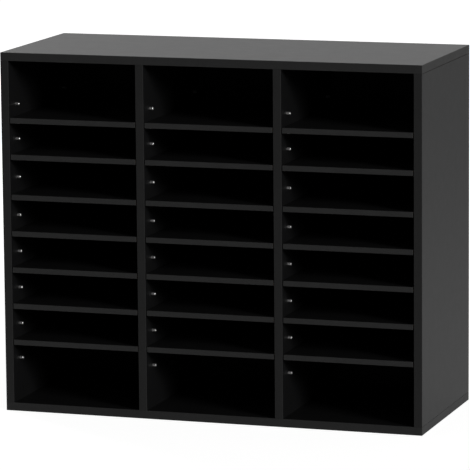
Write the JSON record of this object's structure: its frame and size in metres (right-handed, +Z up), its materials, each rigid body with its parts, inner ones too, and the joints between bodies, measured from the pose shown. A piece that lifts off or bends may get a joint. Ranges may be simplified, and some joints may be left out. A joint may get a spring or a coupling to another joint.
{
  "type": "book organizer",
  "caption": "Wide open-front black cabinet whose bays of loose shelves on steel pins form rows of flat pigeonholes for paper, brochures and thin books.",
  "frame": {"origin": "middle of the footprint, on the surface that the cabinet stands on", "axes": "+X to the right seen from the open front, +Y from the open front to the back panel, +Z up"},
  "size_m": [0.73, 0.298, 0.61],
  "materials": {
    "carcase_board": "black melamine-faced particleboard, satin with a very fine pebble",
    "edge_strip": "black plastic edge strip, satin, rounded corners",
    "shelf_board": "black melamine-faced board, satin",
    "back_board": "black-faced hardboard, dull",
    "pin_steel": "nickel-plated steel, bright",
    "cam_zinc": "die-cast zinc, dull grey",
    "bolt_steel": "zinc-plated steel",
    "nail_steel": "bright steel wire",
    "cover_foil": "black self-adhesive foil, satin",
    "dowel_beech": "fluted beech, raw"
  },
  "bodies": {
    "cabinet": {"top_panel": "carcase_board", "top_panel_edging": "edge_strip", "bottom_panel": "carcase_board", "bottom_panel_edging": "edge_strip", "left_side_panel": "carcase_board", "left_divider": "carcase_board", "right_divider": "carcase_board", "right_side_panel": "carcase_board", "upright_edging": "edge_strip", "back_panel": "back_board", "back_panel_nails": "nail_steel", "shelf_support_pins": "pin_steel", "spare_pins": "pin_steel", "cam_locks": "cam_zinc", "cam_bolts": "bolt_steel", "cam_covers": "cover_foil", "dowels": "dowel_beech"},
    "left_bay_shelf_1": {"left_bay_shelf_1": "shelf_board", "left_bay_shelf_1_edging": "edge_strip"},
    "left_bay_shelf_2": {"left_bay_shelf_2": "shelf_board", "left_bay_shelf_2_edging": "edge_strip"},
    "left_bay_shelf_3": {"left_bay_shelf_3": "shelf_board", "left_bay_shelf_3_edging": "edge_strip"},
    "left_bay_shelf_4": {"left_bay_shelf_4": "shelf_board", "left_bay_shelf_4_edging": "edge_strip"},
    "left_bay_shelf_5": {"left_bay_shelf_5": "shelf_board", "left_bay_shelf_5_edging": "edge_strip"},
    "left_bay_shelf_6": {"left_bay_shelf_6": "shelf_board", "left_bay_shelf_6_edging": "edge_strip"},
    "left_bay_shelf_7": {"left_bay_shelf_7": "shelf_board", "left_bay_shelf_7_edging": "edge_strip"},
    "middle_bay_shelf_1": {"middle_bay_shelf_1": "shelf_board", "middle_bay_shelf_1_edging": "edge_strip"},
    "middle_bay_shelf_2": {"middle_bay_shelf_2": "shelf_board", "middle_bay_shelf_2_edging": "edge_strip"},
    "middle_bay_shelf_3": {"middle_bay_shelf_3": "shelf_board", "middle_bay_shelf_3_edging": "edge_strip"},
    "middle_bay_shelf_4": {"middle_bay_shelf_4": "shelf_board", "middle_bay_shelf_4_edging": "edge_strip"},
    "middle_bay_shelf_5": {"middle_bay_shelf_5": "shelf_board", "middle_bay_shelf_5_edging": "edge_strip"},
    "middle_bay_shelf_6": {"middle_bay_shelf_6": "shelf_board", "middle_bay_shelf_6_edging": "edge_strip"},
    "middle_bay_shelf_7": {"middle_bay_shelf_7": "shelf_board", "middle_bay_shelf_7_edging": "edge_strip"},
    "right_bay_shelf_1": {"right_bay_shelf_1": "shelf_board", "right_bay_shelf_1_edging": "edge_strip"},
    "right_bay_shelf_2": {"right_bay_shelf_2": "shelf_board", "right_bay_shelf_2_edging": "edge_strip"},
    "right_bay_shelf_3": {"right_bay_shelf_3": "shelf_board", "right_bay_shelf_3_edging": "edge_strip"},
    "right_bay_shelf_4": {"right_bay_shelf_4": "shelf_board", "right_bay_shelf_4_edging": "edge_strip"},
    "right_bay_shelf_5": {"right_bay_shelf_5": "shelf_board", "right_bay_shelf_5_edging": "edge_strip"},
    "right_bay_shelf_6": {"right_bay_shelf_6": "shelf_board", "right_bay_shelf_6_edging": "edge_strip"},
    "right_bay_shelf_7": {"right_bay_shelf_7": "shelf_board", "right_bay_shelf_7_edging": "edge_strip"}
  },
  "joints": [
    {"name": "left_bay_shelf_1_draw_out", "type": "slide", "parent": "cabinet", "child": "left_bay_shelf_1", "axis": [0, -1, 0], "range_m": [0, 0.3]},
    {"name": "left_bay_shelf_2_draw_out", "type": "slide", "parent": "cabinet", "child": "left_bay_shelf_2", "axis": [0, -1, 0], "range_m": [0, 0.3]},
    {"name": "left_bay_shelf_3_draw_out", "type": "slide", "parent": "cabinet", "child": "left_bay_shelf_3", "axis": [0, -1, 0], "range_m": [0, 0.3]},
    {"name": "left_bay_shelf_4_draw_out", "type": "slide", "parent": "cabinet", "child": "left_bay_shelf_4", "axis": [0, -1, 0], "range_m": [0, 0.3]},
    {"name": "left_bay_shelf_5_draw_out", "type": "slide", "parent": "cabinet", "child": "left_bay_shelf_5", "axis": [0, -1, 0], "range_m": [0, 0.3]},
    {"name": "left_bay_shelf_6_draw_out", "type": "slide", "parent": "cabinet", "child": "left_bay_shelf_6", "axis": [0, -1, 0], "range_m": [0, 0.3]},
    {"name": "left_bay_shelf_7_draw_out", "type": "slide", "parent": "cabinet", "child": "left_bay_shelf_7", "axis": [0, -1, 0], "range_m": [0, 0.3]},
    {"name": "middle_bay_shelf_1_draw_out", "type": "slide", "parent": "cabinet", "child": "middle_bay_shelf_1", "axis": [0, -1, 0], "range_m": [0, 0.3]},
    {"name": "middle_bay_shelf_2_draw_out", "type": "slide", "parent": "cabinet", "child": "middle_bay_shelf_2", "axis": [0, -1, 0], "range_m": [0, 0.3]},
    {"name": "middle_bay_shelf_3_draw_out", "type": "slide", "parent": "cabinet", "child": "middle_bay_shelf_3", "axis": [0, -1, 0], "range_m": [0, 0.3]},
    {"name": "middle_bay_shelf_4_draw_out", "type": "slide", "parent": "cabinet", "child": "middle_bay_shelf_4", "axis": [0, -1, 0], "range_m": [0, 0.3]},
    {"name": "middle_bay_shelf_5_draw_out", "type": "slide", "parent": "cabinet", "child": "middle_bay_shelf_5", "axis": [0, -1, 0], "range_m": [0, 0.3]},
    {"name": "middle_bay_shelf_6_draw_out", "type": "slide", "parent": "cabinet", "child": "middle_bay_shelf_6", "axis": [0, -1, 0], "range_m": [0, 0.3]},
    {"name": "middle_bay_shelf_7_draw_out", "type": "slide", "parent": "cabinet", "child": "middle_bay_shelf_7", "axis": [0, -1, 0], "range_m": [0, 0.3]},
    {"name": "right_bay_shelf_1_draw_out", "type": "slide", "parent": "cabinet", "child": "right_bay_shelf_1", "axis": [0, -1, 0], "range_m": [0, 0.3]},
    {"name": "right_bay_shelf_2_draw_out", "type": "slide", "parent": "cabinet", "child": "right_bay_shelf_2", "axis": [0, -1, 0], "range_m": [0, 0.3]},
    {"name": "right_bay_shelf_3_draw_out", "type": "slide", "parent": "cabinet", "child": "right_bay_shelf_3", "axis": [0, -1, 0], "range_m": [0, 0.3]},
    {"name": "right_bay_shelf_4_draw_out", "type": "slide", "parent": "cabinet", "child": "right_bay_shelf_4", "axis": [0, -1, 0], "range_m": [0, 0.3]},
    {"name": "right_bay_shelf_5_draw_out", "type": "slide", "parent": "cabinet", "child": "right_bay_shelf_5", "axis": [0, -1, 0], "range_m": [0, 0.3]},
    {"name": "right_bay_shelf_6_draw_out", "type": "slide", "parent": "cabinet", "child": "right_bay_shelf_6", "axis": [0, -1, 0], "range_m": [0, 0.3]},
    {"name": "right_bay_shelf_7_draw_out", "type": "slide", "parent": "cabinet", "child": "right_bay_shelf_7", "axis": [0, -1, 0], "range_m": [0, 0.3]}
  ]
}
